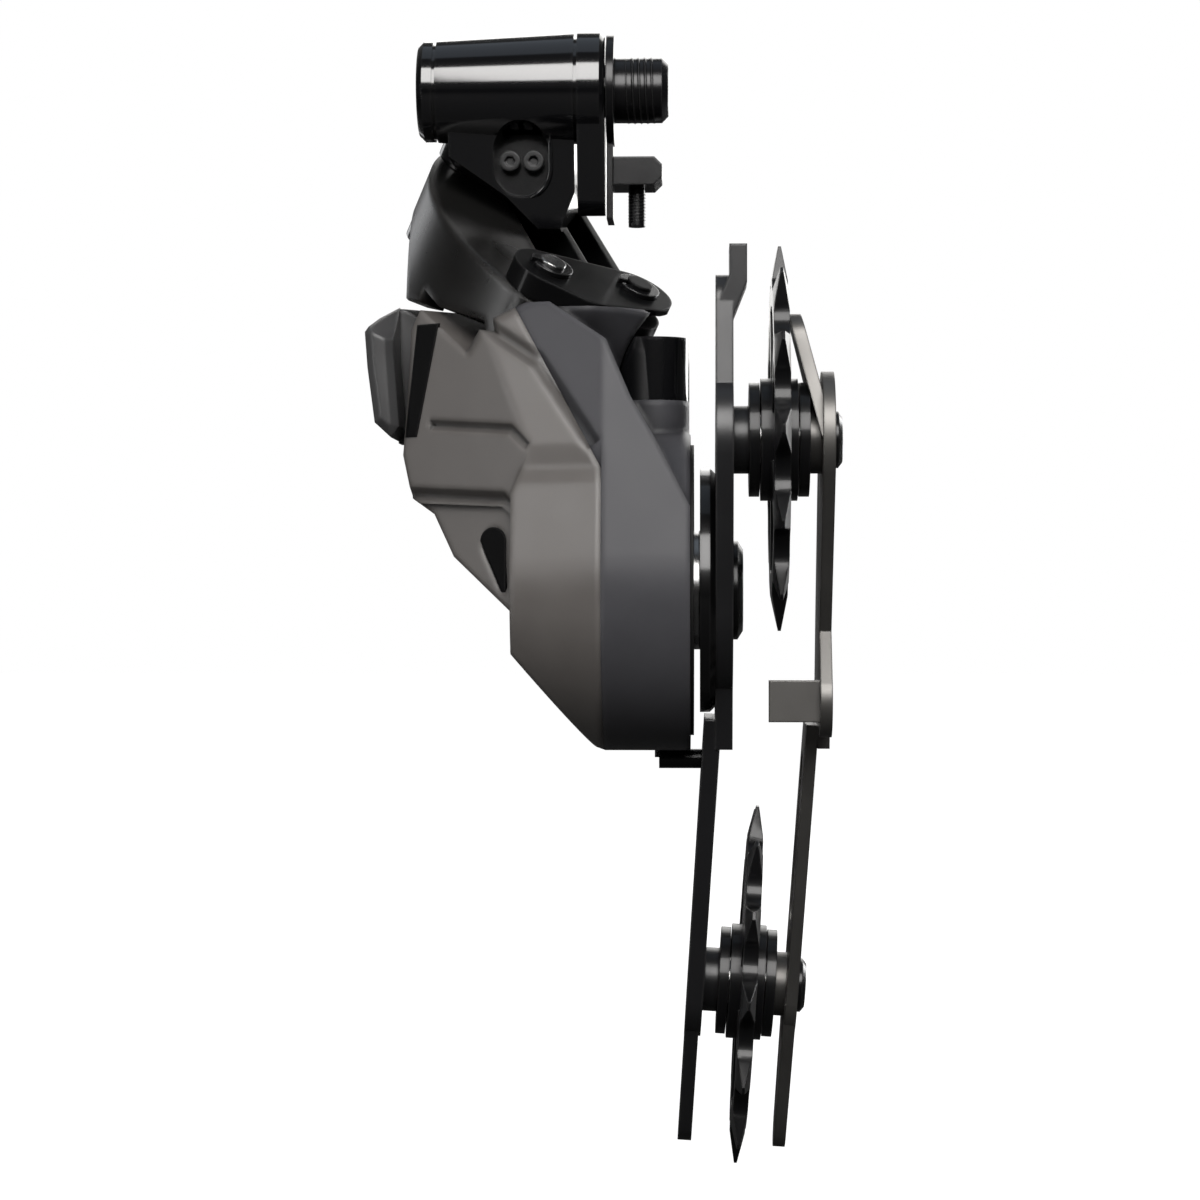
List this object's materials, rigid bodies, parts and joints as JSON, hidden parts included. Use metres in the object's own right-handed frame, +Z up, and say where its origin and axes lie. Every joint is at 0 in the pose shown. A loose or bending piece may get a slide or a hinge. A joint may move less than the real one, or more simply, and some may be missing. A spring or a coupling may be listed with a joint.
{
  "type": "rear derailleur",
  "caption": "Electronic rear bicycle derailleur: mounting bolt and barrel, slanted parallelogram, sculpted lower housing, sprung cage with toothed guide and tension pulleys.",
  "frame": {"origin": "on the mounting bolt's axis, at the plane that seats on the hanger's outboard face", "axes": "+X inboard towards the wheel along the mounting bolt, -Y towards the front of the bicycle, +Z up"},
  "size_m": [0.072, 0.0877, 0.1773],
  "materials": {
    "black_gloss": "gloss anodised",
    "black_satin": "satin anodised",
    "grey_outer": "satin, warm grey",
    "grey_inner": "satin, cool grey",
    "steel_black": "black oxide",
    "steel_bright": "ground",
    "inner_plate_black": "semi-gloss black",
    "pulley_black": "moulded, satin",
    "bronze": "sintered",
    "rubber": "matt",
    "lens": "clear diffuse",
    "electronics": "moulded",
    "board": "solder mask"
  },
  "bodies": {
    "mount": {"mounting_bolt": "steel_black", "stopper_plate": "steel_black", "stop_screw": "steel_black"},
    "bracket": {"bracket_body": "black_gloss", "bracket_flange": "black_gloss", "barrel_end_cap": "black_gloss", "barrel_bushings": "bronze", "barrel_spring": "steel_bright", "limit_screws": "steel_black", "outer_top_pin": "steel_bright", "inner_top_pin": "steel_bright", "top_pin_clips": "steel_black"},
    "outer_link": {"outer_link": "black_satin", "outer_link_bushings": "bronze"},
    "inner_link": {"inner_link": "black_satin", "inner_link_bushings": "bronze"},
    "knuckle": {"lower_yoke": "black_satin", "boss_cap": "black_gloss", "outer_guard": "black_satin", "inner_housing": "grey_inner", "outer_housing": "grey_outer", "battery": "electronics", "door_pin": "steel_bright", "status_lens": "lens", "drive_motor": "electronics", "gear_unit": "electronics", "circuit_board": "board", "cage_bushings": "bronze", "cage_spring": "steel_bright", "drum_seal": "rubber", "outer_low_pin": "steel_bright", "inner_low_pin": "steel_bright", "low_pin_clips": "steel_black"},
    "battery_door": {"battery_door": "grey_outer"},
    "function_button": {"function_button": "rubber"},
    "cage": {"cage_axle": "steel_bright", "cage_hub": "black_satin", "outer_plate": "black_satin", "inner_plate": "inner_plate_black", "axle_bolt": "steel_black", "cage_stop_pin": "steel_black", "guide_caps": "pulley_black", "guide_sleeve": "steel_bright", "guide_bolt": "steel_black", "tension_caps": "pulley_black", "tension_sleeve": "steel_bright", "tension_bolt": "steel_black"},
    "guide_pulley": {"guide_pulley": "pulley_black", "guide_bearing": "steel_bright"},
    "tension_pulley": {"tension_pulley": "pulley_black", "tension_bearing": "steel_bright"}
  },
  "joints": [
    {"name": "mount_pivot", "type": "hinge", "parent": "mount", "child": "bracket", "pos_m": [0, 0, 0], "axis": [1, 0, 0], "range_deg": [0, 25], "stiffness_Nm_per_rad": 0.9, "springref_deg": -20.05},
    {"name": "shift_pivot", "type": "hinge", "parent": "bracket", "child": "outer_link", "pos_m": [-0.0257, 0.017, -0.0139], "axis": [0.4015, -0.4216, 0.813], "range_deg": [-20, 44]},
    {"name": "inner_top_pivot", "type": "hinge", "parent": "bracket", "child": "inner_link", "pos_m": [-0.01292, 0.02446, -0.01635], "axis": [0.4015, -0.4216, 0.813], "range_deg": [-20, 44]},
    {"name": "outer_low_pivot", "type": "hinge", "parent": "outer_link", "child": "knuckle", "pos_m": [-0.0127, -0.016, -0.03743], "axis": [0.4015, -0.4216, 0.813], "range_deg": [-44, 20]},
    {"name": "battery_door_hinge", "type": "hinge", "parent": "knuckle", "child": "battery_door", "pos_m": [-0.0215, 0.0089, -0.06305], "axis": [-1, 0, 0], "range_deg": [0, 100]},
    {"name": "function_button_press", "type": "slide", "parent": "knuckle", "child": "function_button", "axis": [0, -1, 0], "range_m": [0, 0.0006], "stiffness_N_per_m": 400, "springref_m": -0.0005},
    {"name": "cage_pivot", "type": "hinge", "parent": "knuckle", "child": "cage", "pos_m": [0, -0.012, -0.078], "axis": [1, 0, 0], "range_deg": [-80, 0], "stiffness_Nm_per_rad": 0.5, "springref_deg": 34.38},
    {"name": "guide_pulley_spin", "type": "hinge", "parent": "cage", "child": "guide_pulley", "pos_m": [0.0249, -0.025, -0.0559], "axis": [1, 0, 0], "continuous": true},
    {"name": "tension_pulley_spin", "type": "hinge", "parent": "cage", "child": "tension_pulley", "pos_m": [0.0206, 0.0066, -0.13986], "axis": [0.998, 0, -0.0628], "continuous": true}
  ],
  "couplings": [
    {"joint": "inner_top_pivot", "follows": "shift_pivot", "ratio": 1},
    {"joint": "outer_low_pivot", "follows": "shift_pivot", "ratio": -1}
  ]
}
